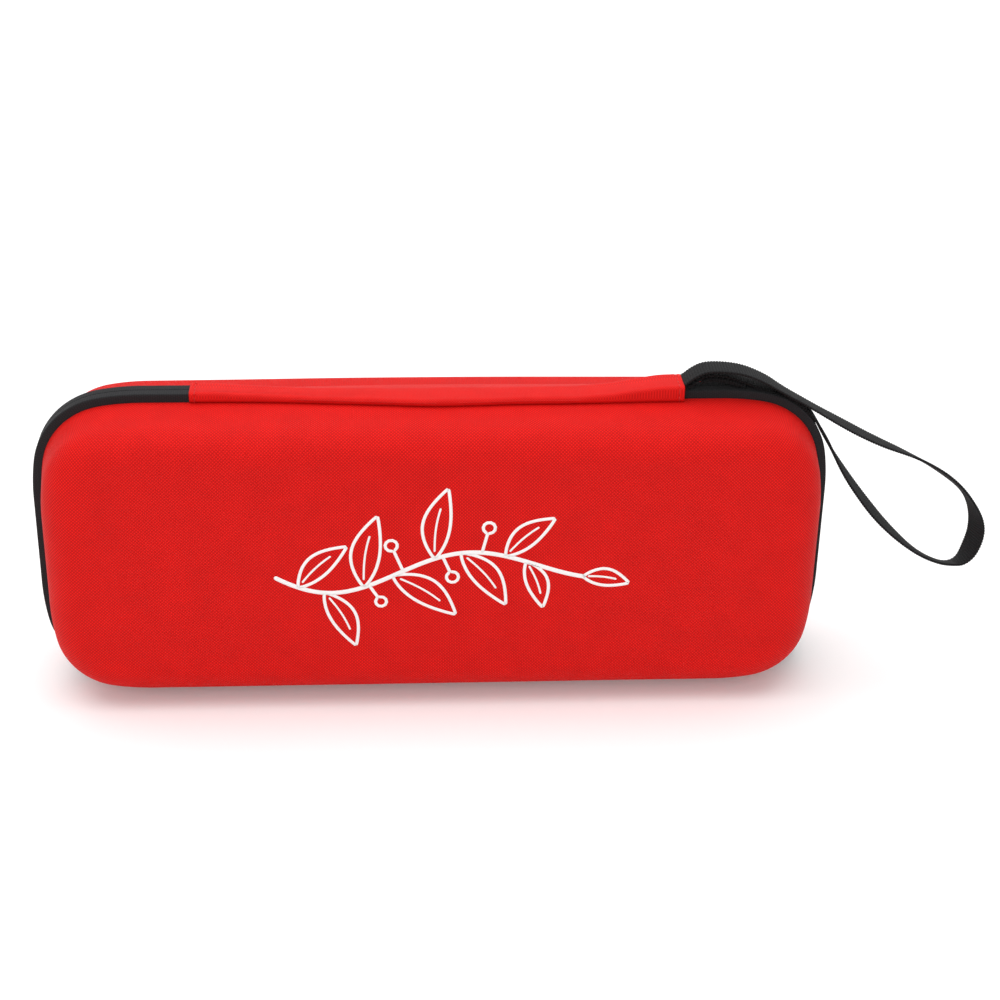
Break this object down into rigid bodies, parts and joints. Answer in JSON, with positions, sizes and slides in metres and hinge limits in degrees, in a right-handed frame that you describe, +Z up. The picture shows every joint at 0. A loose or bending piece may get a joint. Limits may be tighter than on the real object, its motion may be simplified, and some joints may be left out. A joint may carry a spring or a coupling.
{
  "type": "stethoscope hard case",
  "caption": "Moulded hard zip case with a woven cover, fabric hinge, two sliders, wrist strap, mesh pocket and elastic bands, made to hold a stethoscope.",
  "frame": {"origin": "On the floor under the middle of the closed case, which stands on its long zipper edge; the wrist strap is left out.", "axes": "X runs along the case, -Y is out of the front face, +Z is up."},
  "size_m": [0.3515, 0.06, 0.1259],
  "materials": {
    "cover": "woven polyester, red",
    "foam": "pressed EVA foam",
    "lining": "knitted nylon",
    "binding": "woven binding tape",
    "zipper_tape": "woven polyester tape",
    "zipper_coil": "nylon monofilament",
    "spine": "woven polyester, red",
    "webbing": "ribbed webbing",
    "end_stop": "moulded plastic",
    "slider": "black coated zinc casting",
    "bail": "black steel wire",
    "grip": "moulded soft plastic",
    "mesh": "knitted net",
    "elastic": "woven elastic"
  },
  "bodies": {
    "back_half": {"back_shell": "foam", "back_cover": "cover", "back_lining": "lining", "back_edge_binding": "binding", "back_zipper_tape": "zipper_tape", "back_zipper_coil": "zipper_coil", "spine_cover": "spine", "hinge_tape": "webbing", "hinge_lining": "lining", "left_end_stop": "end_stop", "right_end_stop": "end_stop", "strap_root": "webbing", "wrist_strap": "webbing", "left_holding_band": "elastic", "right_holding_band": "elastic"},
    "front_half": {"front_shell": "foam", "front_cover": "cover", "front_lining": "lining", "front_edge_binding": "binding", "front_zipper_tape": "zipper_tape", "front_zipper_coil": "zipper_coil", "mesh_pocket": "mesh", "pocket_elastic": "elastic"},
    "lower_slider": {"lower_slider": "slider"},
    "upper_slider": {"upper_slider": "slider"},
    "lower_pull": {"lower_pull_bail": "bail", "lower_pull_grip": "grip"},
    "upper_pull": {"upper_pull_bail": "bail", "upper_pull_grip": "grip"}
  },
  "joints": [
    {"name": "front_half_hinge", "type": "hinge", "parent": "back_half", "child": "front_half", "pos_m": [0, 0, 0.1177], "axis": [-1, 0, 0], "range_deg": [0, 180], "deforming": ["spine_cover", "hinge_tape", "hinge_lining", "strap_root", "wrist_strap"]},
    {"name": "lower_slider_travel", "type": "hinge", "parent": "back_half", "child": "lower_slider", "pos_m": [0.11461, 0, 0.03059], "axis": [0, -1, 0], "range_deg": [-14, 0]},
    {"name": "upper_slider_travel", "type": "hinge", "parent": "back_half", "child": "upper_slider", "pos_m": [0.11461, 0, 0.03059], "axis": [0, -1, 0], "range_deg": [0, 20]},
    {"name": "lower_pull_swing", "type": "hinge", "parent": "lower_slider", "child": "lower_pull", "pos_m": [0.13255, 0, 0.00296], "axis": [-0.8387, 0, -0.5446], "range_deg": [0, 170]},
    {"name": "upper_pull_swing", "type": "hinge", "parent": "upper_slider", "child": "upper_pull", "pos_m": [0.14003, 0, 0.00964], "axis": [-0.6361, 0, -0.7716], "range_deg": [0, 170]}
  ]
}
